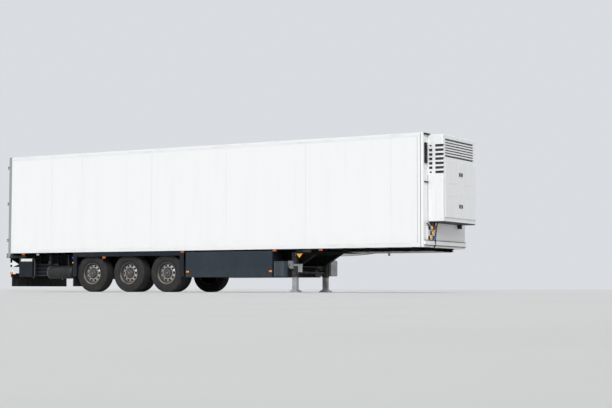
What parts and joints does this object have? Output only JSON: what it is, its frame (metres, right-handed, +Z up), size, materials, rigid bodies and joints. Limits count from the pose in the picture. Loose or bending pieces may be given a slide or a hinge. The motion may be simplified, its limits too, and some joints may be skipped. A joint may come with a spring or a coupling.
{
  "type": "refrigerated semi-trailer",
  "caption": "Box semi-trailer with a refrigeration unit, swinging rear doors, side pallet box, landing legs and air-sprung axles under a white insulated body.",
  "frame": {"origin": "on the floor, below the middle of the trailer's whole length and width", "axes": "+X forward to the kingpin, +Y to the left, +Z up"},
  "size_m": [14.175, 2.6, 4],
  "materials": {
    "white_body": "white painted panels",
    "edge_profile": "white coated aluminium edge profiles",
    "floor": "ribbed aluminium floor",
    "steel_frame": "stainless steel rear frame",
    "door_gear": "galvanised lock rods and hinges",
    "chassis": "black painted chassis steel",
    "slate": "slate grey painted sheet",
    "bare_steel": "bare machined steel",
    "galvanised": "galvanised steel",
    "wheel": "silver painted disc wheel",
    "tyre": "dusty tread rubber",
    "rubber": "black rubber",
    "lamp_red": "red lamp lens",
    "lamp_amber": "amber lamp lens",
    "unit_shell": "white moulded shell",
    "machinery": "dark engine and coil",
    "black_plastic": "black moulded plastic"
  },
  "bodies": {
    "root": {"main_rails": "chassis", "cross_members": "chassis", "coupling_plate": "bare_steel", "kingpin": "bare_steel", "landing_legs": "chassis", "landing_feet": "galvanised", "landing_gearbox": "galvanised", "axle_beams": "chassis", "suspension_arms": "chassis", "air_springs": "rubber", "air_tanks": "chassis", "slat_rack": "galvanised", "tool_box": "slate", "pallet_box": "galvanised", "front_box": "slate", "fuel_tank": "galvanised", "mudguards": "slate", "mud_flaps": "rubber", "rear_bumper": "chassis", "rear_gussets": "edge_profile", "rear_lamps": "lamp_red", "side_markers": "lamp_amber", "buffers": "edge_profile", "floor": "floor", "bottom_rails": "edge_profile", "top_rails": "edge_profile", "side_wall_right": "white_body", "side_wall_left": "white_body", "roof": "white_body", "front_wall": "white_body", "front_vents": "black_plastic", "rear_frame": "steel_frame", "unit_housing": "unit_shell", "unit_engine": "machinery", "unit_condenser": "machinery", "evaporator": "white_body", "coupling_board": "edge_profile", "line_couplings": "black_plastic"},
    "door_right_body": {"door_right": "white_body", "door_gear_right": "door_gear"},
    "door_left_body": {"door_left": "white_body", "door_gear_left": "door_gear"},
    "unit_door_right_body": {"unit_door_right": "unit_shell"},
    "unit_door_left_body": {"unit_door_left": "unit_shell"},
    "pallet_flap_right_body": {"pallet_flap_right": "slate"},
    "pallet_flap_left_body": {"pallet_flap_left": "slate"},
    "tool_box_lid_body": {"tool_box_lid": "slate"},
    "wheel_1_right": {"tyre_1_right": "tyre", "rim_1_right": "wheel"},
    "wheel_1_left": {"tyre_1_left": "tyre", "rim_1_left": "wheel"},
    "wheel_2_right": {"tyre_2_right": "tyre", "rim_2_right": "wheel"},
    "wheel_2_left": {"tyre_2_left": "tyre", "rim_2_left": "wheel"},
    "wheel_3_right": {"tyre_3_right": "tyre", "rim_3_right": "wheel"},
    "wheel_3_left": {"tyre_3_left": "tyre", "rim_3_left": "wheel"}
  },
  "joints": [
    {"name": "door_right_hinge", "type": "hinge", "parent": "root", "child": "door_right_body", "pos_m": [-7.0695, -1.28, 1.24], "axis": [0, 0, 1], "range_deg": [0, 268]},
    {"name": "door_left_hinge", "type": "hinge", "parent": "root", "child": "door_left_body", "pos_m": [-7.0695, 1.28, 1.24], "axis": [0, 0, -1], "range_deg": [0, 268]},
    {"name": "unit_door_right_hinge", "type": "hinge", "parent": "root", "child": "unit_door_right_body", "pos_m": [7.075, -0.94, 1.89], "axis": [0, 0, -1], "range_deg": [0, 110]},
    {"name": "unit_door_left_hinge", "type": "hinge", "parent": "root", "child": "unit_door_left_body", "pos_m": [7.075, 0.94, 1.89], "axis": [0, 0, 1], "range_deg": [0, 110]},
    {"name": "pallet_flap_right_hinge", "type": "hinge", "parent": "root", "child": "pallet_flap_right_body", "pos_m": [0.8375, -1.2795, 1.0905], "axis": [-1, 0, 0], "range_deg": [0, 85]},
    {"name": "pallet_flap_left_hinge", "type": "hinge", "parent": "root", "child": "pallet_flap_left_body", "pos_m": [0.8375, 1.2795, 1.0905], "axis": [1, 0, 0], "range_deg": [0, 85]},
    {"name": "tool_box_lid_hinge", "type": "hinge", "parent": "root", "child": "tool_box_lid_body", "pos_m": [-6.3275, -1.282, 0.45], "axis": [1, 0, 0], "range_deg": [0, 110]},
    {"name": "wheel_1_right_spin", "type": "hinge", "parent": "root", "child": "wheel_1_right", "pos_m": [-3.9075, -1.02, 0.536], "axis": [0, 1, 0], "continuous": true},
    {"name": "wheel_1_left_spin", "type": "hinge", "parent": "root", "child": "wheel_1_left", "pos_m": [-3.9075, 1.02, 0.536], "axis": [0, 1, 0], "continuous": true},
    {"name": "wheel_2_right_spin", "type": "hinge", "parent": "root", "child": "wheel_2_right", "pos_m": [-2.5925, -1.02, 0.536], "axis": [0, 1, 0], "continuous": true},
    {"name": "wheel_2_left_spin", "type": "hinge", "parent": "root", "child": "wheel_2_left", "pos_m": [-2.5925, 1.02, 0.536], "axis": [0, 1, 0], "continuous": true},
    {"name": "wheel_3_right_spin", "type": "hinge", "parent": "root", "child": "wheel_3_right", "pos_m": [-1.2775, -1.02, 0.536], "axis": [0, 1, 0], "continuous": true},
    {"name": "wheel_3_left_spin", "type": "hinge", "parent": "root", "child": "wheel_3_left", "pos_m": [-1.2775, 1.02, 0.536], "axis": [0, 1, 0], "continuous": true}
  ]
}
